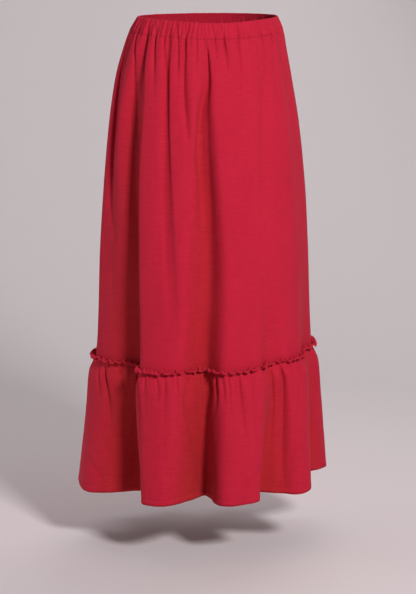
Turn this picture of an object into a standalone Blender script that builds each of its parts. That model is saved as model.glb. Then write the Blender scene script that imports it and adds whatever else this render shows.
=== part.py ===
"""A worn, hollow ankle-length skirt: an elastic casing, a gathered front and back, and one gathered tier.

Metres, +Z up, the front towards -Y. The origin is the centre of the waist, halfway up the casing.
Every level of the skirt is an oval pressed in by its folds. The front half of an oval runs from the
left side seam (-X) to the right one (+X), and the back half runs on round to the left seam again.
"""

import math
import random
from collections import namedtuple

import bpy
import numpy as np

# Driving sizes, as drops below the waist where they are heights
CASING_HEIGHT = 0.030
SEAM_DROP = 0.655
HEM_DROP = 0.905
HEADING_HEIGHT = 0.013
PANEL_TAIL = 0.004

# Walls and the gap that sewn pieces keep
CLOTH = 0.0016
CASING_WALL = 0.0026
GAP = 0.0003

# How many of each gather the garment has, on one half
CASING_GATHERS = 27
HEADING_WAVES = 34

# Shape of the gathers
CASING_GATHER_DEPTH = 0.0024
HEADING_FLARE = 0.0042
HEADING_WAVE = 0.0028
HEADING_RISE = 0.0020
TIER_PUFF = 0.005
SQUARENESS = 2.15
FLATNESS = 2.8

# The plain oval at each level: how far it reaches from the waist's centre to each side
Level = namedtuple("Level", "name drop left right front back")
LEVELS = (
    Level("waist_edge", -0.015, 0.137, 0.136, 0.098, 0.100),
    Level("casing_foot", 0.015, 0.154, 0.148, 0.108, 0.112),
    Level("high_hip", 0.045, 0.165, 0.153, 0.114, 0.122),
    Level("hip_top", 0.100, 0.180, 0.163, 0.124, 0.138),
    Level("hip", 0.200, 0.194, 0.179, 0.140, 0.155),
    Level("thigh", 0.420, 0.2115, 0.197, 0.165, 0.175),
    Level("seam", 0.655, 0.222, 0.205, 0.186, 0.188),
    Level("tier_top", 0.680, 0.229, 0.212, 0.191, 0.193),
    Level("calf", 0.750, 0.235, 0.2190, 0.197, 0.199),
    Level("hem", 0.905, 0.252, 0.2340, 0.208, 0.210),
)

# The long folds. Turn is in degrees about +Z, so 180 is the left seam, 270 the centre front, 360 the right
# seam and 90 the centre back. Width is half the hollow's, in degrees. Lean slides its floor round, in degrees.
Fold = namedtuple(
    "Fold",
    "name turn_band turn_thigh turn_seam turn_hem width_band width_thigh width_seam width_hem "
    "deep_band deep_hip deep_thigh deep_seam deep_hem lean_thigh lean_seam lean_hem",
)
FOLDS = (
    Fold("left_side", 187, 184, 182, 178, 3, 4, 4, 5, 0.004, 0.010, 0.007, 0.002, 0.001, 0, 0, 0),
    Fold("left_front", 203, 198.6, 199.6, 206, 3, 11, 13, 13.8, 0.005, 0.020, 0.044, 0.058, 0.088, 8.5, 8.5, 3),
    Fold("left_knee", 222, 233, 238, 240, 2, 3, 4, 5, 0.005, 0.006, 0.004, 0.001, 0.001, 0, 0, 0),
    Fold("centre", 252.5, 255.5, 252, 249.5, 4, 9, 10, 11, 0.002, 0.013, 0.027, 0.042, 0.094, 0, 1, 5),
    Fold("right_centre", 310, 298, 298, 297.4, 4, 6, 7, 10, 0.002, 0.003, 0.002, 0.014, 0.056, 0, 0, -4),
    Fold("right_front", 332, 332, 334, 335, 3, 8, 9, 12, 0.002, 0.003, 0.004, 0.016, 0.072, 0, -1, -2),
    Fold("back_right", 34, 35, 36, 36, 3, 7, 9, 11, 0.003, 0.010, 0.022, 0.040, 0.070, 2, 3, 4),
    Fold("back_middle_right", 64, 62, 61, 62, 3, 5, 6, 8, 0.003, 0.008, 0.010, 0.012, 0.030, -1, -1, -2),
    Fold("back_centre", 92, 88, 86, 88, 3, 7, 9, 11, 0.003, 0.012, 0.028, 0.048, 0.084, -2, -4, -6),
    Fold("back_middle_left", 122, 121, 120, 118, 3, 5, 6, 8, 0.003, 0.008, 0.010, 0.014, 0.034, 1, 1, 2),
    Fold("back_left", 150, 147, 146, 148, 3, 7, 9, 11, 0.003, 0.010, 0.024, 0.040, 0.068, 2, 3, 4),
)
FOLD_DROPS = {
    "turn": (0.015, 0.420, 0.655, 0.905),
    "width": (0.015, 0.420, 0.655, 0.905),
    "deep": (0.015, 0.200, 0.420, 0.655, 0.905),
    "lean": (0.420, 0.655, 0.905),
}
LEAN_STARTS, LEAN_FULL = 0.12, 0.42

# Tucks under the casing and under the tier's seam. Turn is where one starts, slide how far round it has
# drifted at its reach, deep the hollow at its top and reach how far down it has faded to a third.
Tuck = namedtuple("Tuck", "turn slide deep reach")
FRONT_TUCKS = (
    Tuck(189, 0, 0.0040, 0.05),
    Tuck(212.5, 4, 0.0056, 0.05),
    Tuck(231, 0, 0.0032, 0.04),
    Tuck(237.5, 4, 0.0060, 0.09),
    Tuck(247, 0, 0.0042, 0.05),
    Tuck(257, 0, 0.0056, 0.09),
    Tuck(266, 0, 0.0034, 0.04),
    Tuck(273.5, 1, 0.0056, 0.06),
    Tuck(287, -2, 0.0044, 0.10),
    Tuck(298.5, 0, 0.0034, 0.04),
    Tuck(313, -4, 0.0048, 0.10),
    Tuck(326, -5, 0.0048, 0.06),
    Tuck(340, -3, 0.0036, 0.08),
    Tuck(351, 0, 0.0034, 0.05),
)
BACK_TUCK_COUNT = 13
FRONT_GATHERS = (
    Tuck(184, 2, 0.0044, 0.06),
    Tuck(190, 2, 0.0052, 0.09),
    Tuck(205, 0, 0.0040, 0.05),
    Tuck(222, 0, 0.0036, 0.04),
    Tuck(228.5, 1, 0.0056, 0.06),
    Tuck(235, 0, 0.0036, 0.04),
    Tuck(243.5, 0, 0.0064, 0.13),
    Tuck(251, -3, 0.0040, 0.05),
    Tuck(262, -2, 0.0052, 0.08),
    Tuck(268.5, 0, 0.0050, 0.09),
    Tuck(274, 2, 0.0054, 0.07),
    Tuck(282, 0, 0.0036, 0.05),
    Tuck(291, 3, 0.0056, 0.08),
    Tuck(298, 1, 0.0058, 0.12),
    Tuck(305, 0, 0.0052, 0.14),
    Tuck(316, -3, 0.0048, 0.08),
    Tuck(328, 0, 0.0040, 0.05),
    Tuck(344, 0, 0.0044, 0.07),
    Tuck(354, 0, 0.0040, 0.05),
)
BACK_GATHER_COUNT = 18
TUCK_WIDTH = 2.4
TUCK_GROWTH = 22

# How the edges hang out of level: the waist dips in front, and the right side is carried higher
WAIST_DIP = 0.008
RIGHT_LIFT = 0.020

# Rows of each wall, as (drop, columns across one half)
PANEL_ROWS = (
    (CASING_HEIGHT / 2 + GAP, 73), (0.030, 73), (0.048, 73), (0.080, 67), (0.125, 61), (0.185, 61), (0.260, 61),
    (0.345, 61), (0.435, 61), (0.525, 61), (0.595, 61),
)
PANEL_SEAM_DROPS = (SEAM_DROP - HEADING_HEIGHT, SEAM_DROP, SEAM_DROP + PANEL_TAIL)
TIER_ROWS = ((0.682, 85), (0.720, 79), (0.770, 73), (0.825, 73), (0.870, 73), (HEM_DROP, 73))
HEADING_ROWS = (1.0, 0.5, 0.0)
SAMPLES_PER_WAVE = 3
CASING_ROWS = ((1.0, 0.15), (0.86, 0.75), (0.5, 1.0), (0.14, 0.8), (0.0, 0.35))
DENSE = 1440

# The drops at which a wall's columns are set out evenly along the cloth
PANEL_SPREAD_DROP = 0.52
TIER_SPREAD_DROP = 0.84

HALVES = {"front": (180.0, 360.0), "back": (0.0, 180.0)}
HEADING_SEEDS = {"front": 5, "back": 6}
CLOTH_RED = (0.56, 0.018, 0.045, 1.0)


def smooth_between(places, values, at):
    """A monotone cubic through the values, read at one place, and level beyond the first and last."""
    at = min(max(at, places[0]), places[-1])
    steps = [b - a for a, b in zip(places, places[1:])]
    slopes = [(b - a) / step for a, b, step in zip(values, values[1:], steps)]
    tangents = [slopes[0]]
    for i in range(1, len(slopes)):
        before, after = slopes[i - 1], slopes[i]
        if before * after <= 0:
            tangents.append(0.0)
            continue
        first = 2 * steps[i] + steps[i - 1]
        second = steps[i] + 2 * steps[i - 1]
        tangents.append((first + second) / (first / before + second / after))
    tangents.append(slopes[-1])
    i = next(k for k in range(len(steps)) if at <= places[k + 1])
    t = (at - places[i]) / steps[i]
    value = values[i] * (1 + 2 * t) * (1 - t) ** 2 + values[i + 1] * t * t * (3 - 2 * t)
    return value + steps[i] * (tangents[i] * t * (1 - t) ** 2 + tangents[i + 1] * t * t * (t - 1))


def ease(low, high, value):
    """0 below low, 1 above high, and smooth between."""
    t = min(max((value - low) / (high - low), 0.0), 1.0)
    return t * t * (3 - 2 * t)


def level_reach(drop, side):
    """How far the plain oval reaches to one side at this drop."""
    return smooth_between([lv.drop for lv in LEVELS], [getattr(lv, side) for lv in LEVELS], drop)


def fold_value(fold, what, drop):
    """One of a fold's columns read at this drop, such as its turn, width or depth."""
    values = [getattr(fold, name) for name in fold._fields if name.startswith(what + "_")]
    return smooth_between(FOLD_DROPS[what], values, drop)


def pressed_oval(drop, turns):
    """Points of the skirt's section at this drop, for an array of turns in degrees."""
    angle = np.radians(turns)
    across, along = np.cos(angle), np.sin(angle)
    wide = np.where(across < 0, level_reach(drop, "left"), level_reach(drop, "right"))
    deep = np.where(along < 0, level_reach(drop, "front"), level_reach(drop, "back"))
    reach = (np.abs(across / wide) ** SQUARENESS + np.abs(along / deep) ** SQUARENESS) ** (-1 / SQUARENESS)
    shift = np.zeros_like(reach)
    grown = ease(-CASING_HEIGHT / 2, CASING_HEIGHT, drop)
    for fold in FOLDS:
        away = (turns - fold_value(fold, "turn", drop) + 180) % 360 - 180
        hollow = np.exp(-(np.abs(away / fold_value(fold, "width", drop)) ** FLATNESS))
        reach = reach - grown * fold_value(fold, "deep", drop) * hollow
        shift = shift + fold_value(fold, "lean", drop) * ease(LEAN_STARTS, LEAN_FULL, drop) * hollow
    angle = angle + np.radians(shift)
    return np.stack([reach * np.cos(angle), reach * np.sin(angle)], axis=1)


def spread(half, drop, shares):
    """The turns at which a half's section, at this drop, has run these shares of its length."""
    turns = np.linspace(*HALVES[half], DENSE)
    points = pressed_oval(drop, turns)
    along = np.concatenate([[0], np.cumsum(np.linalg.norm(np.diff(points, axis=0), axis=1))])
    return np.interp(np.asarray(shares) * along[-1], along, turns)


def section(drop, turns):
    """Points and outward normals of the section at these turns."""
    step = 0.05
    place = pressed_oval(drop, turns)
    tangent = pressed_oval(drop, turns + step) - pressed_oval(drop, turns - step)
    normal = np.stack([tangent[:, 1], -tangent[:, 0]], axis=1)
    return place, normal / np.linalg.norm(normal, axis=1)[:, None]


def hang(place, drop):
    """Heights of a row of points: level, but for the waist's dip and the sides' lift."""
    angle = np.arctan2(place[:, 1], place[:, 0])
    front = np.clip(-np.sin(angle), 0, 1) ** 2
    right = np.clip(np.cos(angle), 0, 1)
    worn = ease(0.05, SEAM_DROP, drop)
    dip = WAIST_DIP * (1 - ease(0.0, 0.30, drop))
    return -drop - dip * front + worn * RIGHT_LIFT * right


def uneven(count, seed, least=0.72):
    """Places of so many waves across a width of 1, unevenly spaced, and a strength for each."""
    chance = random.Random(seed)
    gaps = [chance.uniform(least, 2 - least) for _ in range(count)]
    edges = np.concatenate([[0], np.cumsum(gaps)]) / sum(gaps)
    return edges, [chance.uniform(0.55, 1.0) for _ in range(count)]


def wave_shares(edges):
    """Shares that sample each wave alike: its edge, quarter, middle and third quarter."""
    steps = np.arange(SAMPLES_PER_WAVE) / SAMPLES_PER_WAVE
    inside = [a + (b - a) * steps for a, b in zip(edges, edges[1:])]
    return np.concatenate([*inside, [edges[-1]]])


def wave_heights(edges, strengths, shares):
    """0 at each wave's edges and its strength in the middle, at these shares."""
    index = np.clip(np.searchsorted(edges, shares, side="right") - 1, 0, len(strengths) - 1)
    inside = (shares - edges[index]) / (edges[index + 1] - edges[index])
    return np.asarray(strengths)[index] * (1 - np.cos(2 * math.pi * inside)) / 2


def hidden_tucks(count, seed):
    """Tucks for the back, which the photo leaves out, in the same range as the front ones."""
    edges, strengths = uneven(count, seed)
    chance = random.Random(seed + 1)
    turns = 180 * (edges[:-1] + edges[1:]) / 2
    return [
        Tuck(turn, chance.uniform(-3, 3), 0.003 + 0.003 * strength, chance.uniform(0.05, 0.14))
        for turn, strength in zip(turns, strengths)
    ]


def tuck_depth(tucks, turns, below):
    """How far the tucks press the cloth in at these turns, so far below the line that gathers it."""
    depth = np.zeros_like(turns)
    width = TUCK_WIDTH + TUCK_GROWTH * below
    for tuck in tucks:
        fade = math.exp(-((below / tuck.reach) ** 1.3))
        slide = tuck.slide * min(below / tuck.reach, 1.5)
        depth += tuck.deep * fade * np.exp(-(((turns - tuck.turn - slide) / width) ** 2))
    return depth


def row_of(place, facing, outward, thick, height):
    """One row of a wall: its outer points and, a thickness further in, its inner points."""
    outer = place + facing * np.reshape(outward, (-1, 1))
    inner = outer - facing * np.reshape(thick, (-1, 1))
    height = np.broadcast_to(height, len(place))
    return np.column_stack([outer, height]), np.column_stack([inner, height])


def strip(upper, lower):
    """Triangles between two rows of (place along it, point number), which may differ in count."""
    i = j = 0
    faces = []
    while i < len(upper) - 1 or j < len(lower) - 1:
        next_up = upper[i + 1][0] if i < len(upper) - 1 else math.inf
        next_low = lower[j + 1][0] if j < len(lower) - 1 else math.inf
        if next_low <= next_up:
            faces.append((upper[i][1], lower[j][1], lower[j + 1][1]))
            j += 1
        else:
            faces.append((upper[i][1], lower[j][1], upper[i + 1][1]))
            i += 1
    return faces


def wall_object(name, outside, inside, closed, material):
    """One closed solid from the rows of its two faces. A row is (turns, points), listed from the top down."""
    points, numbered = [], []
    for face_rows in (outside, inside):
        rows = []
        for turns, line in face_rows:
            rows.append([(turn, len(points) + k) for k, turn in enumerate(turns)])
            points.extend(map(tuple, line))
            if closed:
                rows[-1].append((turns[0] + 360, rows[-1][0][1]))
        numbered.append(rows)
    outer, inner = numbered
    faces = []
    for upper, lower in zip(outer, outer[1:]):
        faces += strip(upper, lower)
    for upper, lower in zip(inner, inner[1:]):
        faces += strip(lower, upper)
    faces += strip(inner[0], outer[0]) + strip(outer[-1], inner[-1])
    if not closed:
        for side in (0, -1):
            out = [(-points[row[side][1]][2], row[side][1]) for row in outer]
            into = [(-points[row[side][1]][2], row[side][1]) for row in inner]
            faces += strip(out, into) if side == 0 else strip(into, out)
    mesh = bpy.data.meshes.new(name)
    mesh.from_pydata(points, [], faces)
    mesh.validate()
    mesh.shade_smooth()
    mesh.set_sharp_from_angle(angle=math.radians(60))
    mesh.materials.append(material)
    obj = bpy.data.objects.new(name, mesh)
    bpy.context.scene.collection.objects.link(obj)
    return obj


def seam_inset(place, facing):
    """Moves a half's first and last points in from the side seams, so that the halves stay a gap apart."""
    moved = place.copy()
    tangent = np.stack([-facing[:, 1], facing[:, 0]], axis=1)
    moved[0] += tangent[0] * GAP / 2
    moved[-1] -= tangent[-1] * GAP / 2
    return moved


def heading_waves(half):
    """Turns that sample the heading's waves, and how high each of them stands."""
    edges, strengths = uneven(HEADING_WAVES, HEADING_SEEDS[half])
    shares = wave_shares(edges)
    return spread(half, PANEL_SPREAD_DROP, shares), wave_heights(edges, strengths, shares)


def seam_turns(half):
    """Turns of the panel's points at the tier's seam: two of the heading's in each wave, and its end."""
    turns, _ = heading_waves(half)
    return np.array([turn for k, turn in enumerate(turns) if k % SAMPLES_PER_WAVE < 2])


def wall_row(drop, turns, outward):
    """The outer and inner rows of a cloth wall, moved out from the section by so much."""
    place, facing = section(drop, turns)
    place = seam_inset(place, facing)
    outer, inner = row_of(place, facing, outward, CLOTH, hang(place, drop))
    return (turns, outer), (turns, inner)


def panel(half, tucks, material):
    """The front or back of the body, from the casing down behind the tier's heading."""
    rows = [(drop, spread(half, PANEL_SPREAD_DROP, np.linspace(0, 1, columns))) for drop, columns in PANEL_ROWS]
    rows += [(drop, seam_turns(half)) for drop in PANEL_SEAM_DROPS]
    walls = []
    for drop, turns in rows:
        below = drop - CASING_HEIGHT / 2
        pressed = tuck_depth(tucks, turns, below) * (0.35 + 0.65 * ease(0.0, 0.025, below))
        walls.append(wall_row(drop, turns, -pressed))
    return wall_object(f"{half}_panel", *zip(*walls), False, material)


def on_panel(half, drop, turns):
    """Places and normals at these turns of the panel's own row, along the straight runs between its points."""
    nodes = seam_turns(half)
    place, facing = section(drop, nodes)
    place = seam_inset(place, facing)
    place, facing = (
        np.stack([np.interp(turns, nodes, line[:, k]) for k in range(2)], axis=1) for line in (place, facing)
    )
    return place, facing / np.linalg.norm(facing, axis=1)[:, None]


def tier(half, gathers, material):
    """The gathered tier with its frilled heading, in one wall laid on the panel's own points."""
    turns, waves = heading_waves(half)
    walls = []
    for rise in HEADING_ROWS:
        drop = SEAM_DROP - HEADING_HEIGHT * rise
        place, facing = on_panel(half, drop, turns)
        flare = rise * (HEADING_FLARE + HEADING_WAVE * (2 * waves - 1)) + (1 - rise) * 0.0008 * waves
        height = hang(place, drop) + rise * HEADING_RISE * (2 * waves - 1)
        outer, inner = row_of(place, facing, GAP + CLOTH + flare, CLOTH, height)
        walls.append(((turns, outer), (turns, inner)))
    rows = [(SEAM_DROP + 1.5 * PANEL_TAIL, seam_turns(half))]
    rows += [(drop, spread(half, TIER_SPREAD_DROP, np.linspace(0, 1, columns))) for drop, columns in TIER_ROWS]
    for drop, turns in rows:
        below = drop - SEAM_DROP
        puff = TIER_PUFF * ease(-0.006, 0.020, below)
        pressed = tuck_depth(gathers, turns, below) * ease(1.5 * PANEL_TAIL, 0.022, below)
        walls.append(wall_row(drop, turns, GAP + CLOTH + puff - pressed))
    return wall_object(f"{half}_tier", *zip(*walls), False, material)


def casing(material):
    """The elastic casing: one ring with a plain inside, its outside ruched into small gathers."""
    turns, waves = [], []
    for half, seed in (("back", 4), ("front", 3)):
        edges, strengths = uneven(CASING_GATHERS, seed)
        shares = wave_shares(edges)[:-1]
        turns.append(spread(half, 0.0, shares))
        waves.append(wave_heights(edges, strengths, shares))
    turns, waves = np.concatenate(turns), np.concatenate(waves)
    plain = turns[::SAMPLES_PER_WAVE]
    outside, inside = [], []
    for rise, gathered in CASING_ROWS:
        drop = CASING_HEIGHT * (0.5 - rise)
        place, facing = section(drop, turns)
        bump = CASING_GATHER_DEPTH * gathered * (waves - 0.5)
        outside.append((turns, row_of(place, facing, bump, 0.0, hang(place, drop))[0]))
        place, facing = section(drop, plain)
        inside.append((plain, row_of(place, facing, -CASING_WALL, 0.0, hang(place, drop))[0]))
    return wall_object("waist_casing", outside, inside[::2], True, material)


def cloth(name):
    """The skirt's one red cloth, as a material of its own for each piece."""
    material = bpy.data.materials.new(name)
    material.use_nodes = True
    shader = material.node_tree.nodes["Principled BSDF"]
    shader.inputs["Base Color"].default_value = CLOTH_RED
    shader.inputs["Roughness"].default_value = 0.8
    shader.inputs["Metallic"].default_value = 0.0
    return material


def main():
    for old in list(bpy.data.objects):
        bpy.data.objects.remove(old)
    casing(cloth("casing_cloth"))
    panel("front", FRONT_TUCKS, cloth("front_panel_cloth"))
    panel("back", hidden_tucks(BACK_TUCK_COUNT, 11), cloth("back_panel_cloth"))
    tier("front", FRONT_GATHERS, cloth("front_tier_cloth"))
    tier("back", hidden_tucks(BACK_GATHER_COUNT, 21), cloth("back_tier_cloth"))


main()
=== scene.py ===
import math
import random

import bpy
import numpy as np
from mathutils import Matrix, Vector


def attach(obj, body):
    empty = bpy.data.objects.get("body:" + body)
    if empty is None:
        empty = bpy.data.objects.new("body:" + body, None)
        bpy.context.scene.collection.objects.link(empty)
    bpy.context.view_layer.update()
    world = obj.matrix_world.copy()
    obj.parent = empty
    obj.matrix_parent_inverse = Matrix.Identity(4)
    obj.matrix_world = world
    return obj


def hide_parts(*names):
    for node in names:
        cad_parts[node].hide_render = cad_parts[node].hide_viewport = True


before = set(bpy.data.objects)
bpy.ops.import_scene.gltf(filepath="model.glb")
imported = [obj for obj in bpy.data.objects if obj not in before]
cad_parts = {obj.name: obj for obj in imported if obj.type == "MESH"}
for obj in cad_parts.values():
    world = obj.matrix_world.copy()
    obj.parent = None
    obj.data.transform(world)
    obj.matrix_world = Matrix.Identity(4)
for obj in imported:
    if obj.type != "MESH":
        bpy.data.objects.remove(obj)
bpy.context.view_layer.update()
print("frame loaded")


# The skirt's form, in metres. Drops are measured down from the waist's centre. Turns are degrees about
# +Z: 180 is the left side seam, 270 the centre front, 360 the right side seam and 90 the centre back.
skirt = {
    "casingHeight": 0.030,
    "seamDrop": 0.655,
    "hemDrop": 0.905,
    "clothThickness": 0.0009,
    "clothGap": 0.0003,
    "solidWall": 0.0016,
    "squareness": 2.15,
    "flatness": 2.8,
    "waistDip": 0.008,
    "rightLift": 0.020,
    "leanStarts": 0.12,
    "leanFull": 0.42,
    "floorBelowHem": 0.11,
}

levelDrops = (-0.015, 0.015, 0.045, 0.100, 0.200, 0.420, 0.655, 0.680, 0.750, 0.905)
levelReach = {
    "left": (0.137, 0.154, 0.165, 0.180, 0.194, 0.2115, 0.222, 0.229, 0.235, 0.252),
    "right": (0.136, 0.148, 0.153, 0.163, 0.179, 0.197, 0.205, 0.212, 0.219, 0.234),
    "front": (0.098, 0.108, 0.114, 0.124, 0.140, 0.165, 0.186, 0.191, 0.197, 0.208),
    "back": (0.100, 0.112, 0.122, 0.138, 0.155, 0.175, 0.188, 0.193, 0.199, 0.210),
}

foldDrops = {
    "turn": (0.015, 0.420, 0.655, 0.905),
    "width": (0.015, 0.420, 0.655, 0.905),
    "deep": (0.015, 0.200, 0.420, 0.655, 0.905),
    "lean": (0.420, 0.655, 0.905),
}


def fold(turn, width, deep, lean):
    return {"turn": turn, "width": width, "deep": [d / 1000 for d in deep], "lean": lean}


# the long folds, each at the drops above: turn, half width and lean in degrees, depth in millimetres
folds = {
    "leftSide": fold((187, 184, 182, 178), (3, 4, 4, 5), (4, 10, 7, 2, 1), (0, 0, 0)),
    "leftFront": fold((203, 198.6, 199.6, 206), (3, 11, 13, 13.8), (5, 20, 44, 58, 88), (8.5, 8.5, 3)),
    "leftKnee": fold((222, 233, 238, 240), (2, 3, 4, 5), (5, 6, 4, 1, 1), (0, 0, 0)),
    "centre": fold((252.5, 255.5, 252, 249.5), (4, 9, 10, 11), (2, 13, 27, 42, 94), (0, 1, 5)),
    "rightCentre": fold((310, 298, 298, 297.4), (4, 6, 7, 10), (2, 3, 2, 14, 56), (0, 0, -4)),
    "rightFront": fold((332, 332, 334, 335), (3, 8, 9, 12), (2, 3, 4, 16, 72), (0, -1, -2)),
    "backRight": fold((34, 35, 36, 36), (3, 7, 9, 11), (3, 10, 22, 40, 70), (2, 3, 4)),
    "backMiddleRight": fold((64, 62, 61, 62), (3, 5, 6, 8), (3, 8, 10, 12, 30), (-1, -1, -2)),
    "backCentre": fold((92, 88, 86, 88), (3, 7, 9, 11), (3, 12, 28, 48, 84), (-2, -4, -6)),
    "backMiddleLeft": fold((122, 121, 120, 118), (3, 5, 6, 8), (3, 8, 10, 14, 34), (1, 1, 2)),
    "backLeft": fold((150, 147, 146, 148), (3, 7, 9, 11), (3, 10, 24, 40, 68), (2, 3, 4)),
}

halves = {"front": (180.0, 360.0), "back": (0.0, 180.0)}


def smoothThrough(places, values, at):
    # a monotone cubic, level past both ends
    at = min(max(at, places[0]), places[-1])
    steps = [b - a for a, b in zip(places, places[1:])]
    slopes = [(b - a) / step for a, b, step in zip(values, values[1:], steps)]
    tangents = [slopes[0]]
    for i in range(1, len(slopes)):
        before, after = slopes[i - 1], slopes[i]
        if before * after <= 0:
            tangents.append(0.0)
            continue
        first = 2 * steps[i] + steps[i - 1]
        second = steps[i] + 2 * steps[i - 1]
        tangents.append((first + second) / (first / before + second / after))
    tangents.append(slopes[-1])
    i = next(k for k in range(len(steps)) if at <= places[k + 1])
    t = (at - places[i]) / steps[i]
    value = values[i] * (1 + 2 * t) * (1 - t) ** 2 + values[i + 1] * t * t * (3 - 2 * t)
    return value + steps[i] * (tangents[i] * t * (1 - t) ** 2 + tangents[i + 1] * t * t * (t - 1))


def ease(low, high, value):
    t = np.clip((value - low) / (high - low), 0.0, 1.0)
    return t * t * (3 - 2 * t)


def awayFrom(turns, turn):
    return (turns - turn + 180) % 360 - 180


def reachAt(side, drop):
    return smoothThrough(levelDrops, levelReach[side], drop)


def longFoldsAt(drop, turns):
    # how deep each long fold presses in at one drop, and how far it leans, in degrees
    for shape in folds.values():
        now = {what: smoothThrough(foldDrops[what], shape[what], drop) for what in foldDrops}
        away = awayFrom(turns, now["turn"]) / now["width"]
        share = np.exp(-(np.abs(away) ** skirt["flatness"]))
        yield now["deep"] * share, now["lean"] * share


def pressedOval(drop, turns):
    # points of the skirt's section at one drop: a squarish oval, pressed in by the long folds
    angle = np.radians(turns)
    across, along = np.cos(angle), np.sin(angle)
    wide = np.where(across < 0, reachAt("left", drop), reachAt("right", drop))
    long = np.where(along < 0, reachAt("front", drop), reachAt("back", drop))
    power = skirt["squareness"]
    reach = (np.abs(across / wide) ** power + np.abs(along / long) ** power) ** (-1 / power)
    grown = ease(-skirt["casingHeight"] / 2, skirt["casingHeight"], drop)
    leans = ease(skirt["leanStarts"], skirt["leanFull"], drop)
    shift = np.zeros_like(reach)
    for deep, lean in longFoldsAt(drop, turns):
        reach = reach - grown * deep
        shift = shift + leans * lean
    angle = angle + np.radians(shift)
    return np.stack([reach * np.cos(angle), reach * np.sin(angle)], axis=-1)


def foldHollow(drop, turns):
    # how far the long folds together press the section in
    return sum(deep for deep, _ in longFoldsAt(drop, turns))


def hang(place, drop):
    # heights: level, but for the waist's dip in front and the right side's lift
    angle = np.arctan2(place[..., 1], place[..., 0])
    front = np.clip(-np.sin(angle), 0, 1) ** 2
    right = np.clip(np.cos(angle), 0, 1)
    dip = skirt["waistDip"] * (1 - ease(0.0, 0.30, drop))
    return -drop - dip * front + ease(0.05, skirt["seamDrop"], drop) * skirt["rightLift"] * right


def sectionAt(drop, turns):
    # the section's points and the way the cloth faces there
    step = 0.05
    place = pressedOval(drop, turns)
    tangent = pressedOval(drop, turns + step) - pressedOval(drop, turns - step)
    facing = np.stack([tangent[:, 1], -tangent[:, 0]], axis=-1)
    return place, facing / np.linalg.norm(facing, axis=-1, keepdims=True)


def spread(half, drop, shares):
    # the turns at given shares of a half's length round one drop
    turns = np.linspace(*halves[half], 2400)
    points = pressedOval(drop, turns)
    along = np.concatenate([[0], np.cumsum(np.linalg.norm(np.diff(points, axis=0), axis=1))])
    return np.interp(np.asarray(shares) * along[-1], along, turns)


def uneven(count, seed, least=0.72):
    # gathers of uneven width that fill a row, and how strong each is
    chance = random.Random(seed)
    gaps = [chance.uniform(least, 2 - least) for _ in range(count)]
    edges = np.concatenate([[0], np.cumsum(gaps)]) / sum(gaps)
    return edges, [chance.uniform(0.55, 1.0) for _ in range(count)]


def perWave(values, count):
    # each wave's own value, blended softly from one wave to the next
    middles = np.arange(len(values)) + 0.5
    return np.interp(count, middles, values)


def paintedShadeOf(depth):
    # painted shade: 0 on the ridges to 1 deep in a fold, where the cloth's colour is painted darker and
    # warmer, standing in for the shade and the cloth's own red light there
    return (1 - np.exp(-depth / 0.020)) ** 2


# Cloth shells, built from grids of points whose rows run down and whose columns run round to the right
def gridNormals(grid):
    normal = np.cross(np.gradient(grid, axis=0), np.gradient(grid, axis=1))
    return normal / np.maximum(np.linalg.norm(normal, axis=-1, keepdims=True), 1e-12)


def quadsOf(index, flip=False):
    a, b, c, d = index[:-1, :-1], index[1:, :-1], index[1:, 1:], index[:-1, 1:]
    order = (d, c, b, a) if flip else (a, b, c, d)
    return np.stack([k.ravel() for k in order], axis=1)


def newPiece(name, points, faces, material, clothPlace=None):
    mesh = bpy.data.meshes.new(name)
    mesh.from_pydata(np.asarray(points).tolist(), [], faces)
    mesh.validate()
    mesh.shade_smooth()
    if clothPlace is not None:
        # the cloth's place for its weave, with the painted shade mask as its third value
        attribute = mesh.attributes.new("clothPlace", "FLOAT_VECTOR", "POINT")
        attribute.data.foreach_set("vector", np.ascontiguousarray(clothPlace, dtype=np.float32).ravel())
    mesh.materials.append(material)
    piece = bpy.data.objects.new(name, mesh)
    bpy.context.scene.collection.objects.link(piece)
    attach(piece, "root")
    return piece


def clothShell(name, outer, thickness, place, material):
    rows, columns = outer.shape[:2]
    inner = outer - gridNormals(outer) * np.reshape(thickness, (-1, 1, 1))
    index = np.arange(rows * columns).reshape(rows, columns)
    inside = index + rows * columns
    faces = [quadsOf(index), quadsOf(inside, flip=True)]
    for out, into, flip in (
        (index[0], inside[0], True),
        (index[-1], inside[-1], False),
        (index[:, 0], inside[:, 0], False),
        (index[:, -1], inside[:, -1], True),
    ):
        faces.append(quadsOf(np.stack([out, into]), flip))
    points = np.concatenate([outer.reshape(-1, 3), inner.reshape(-1, 3)])
    places = np.concatenate([place.reshape(-1, 3)] * 2)
    return newPiece(name, points, np.concatenate(faces).tolist(), material, places)


def threadTube(name, path, radius, sides, material):
    # a fine cord laid along an edge, closed at both ends
    tangent = np.gradient(path, axis=0)
    tangent /= np.linalg.norm(tangent, axis=1, keepdims=True)
    side = np.cross(tangent, (0.0, 0.0, 1.0))
    side /= np.linalg.norm(side, axis=1, keepdims=True)
    upward = np.cross(side, tangent)
    angles = np.arange(sides) * 2 * math.pi / sides
    ring = [side * math.cos(a) + upward * math.sin(a) for a in angles]
    wobble = radius * (1 + 0.12 * np.sin(np.arange(len(path)) * 2.1))[:, None]
    points = np.stack([path + wobble * r for r in ring], axis=1)
    index = np.arange(points.shape[0] * sides).reshape(-1, sides)
    faces = quadsOf(np.concatenate([index, index[:, :1]], axis=1)).tolist()
    faces += [index[0].tolist()[::-1], index[-1].tolist()]
    return newPiece(name, points.reshape(-1, 3), faces, material)


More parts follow.
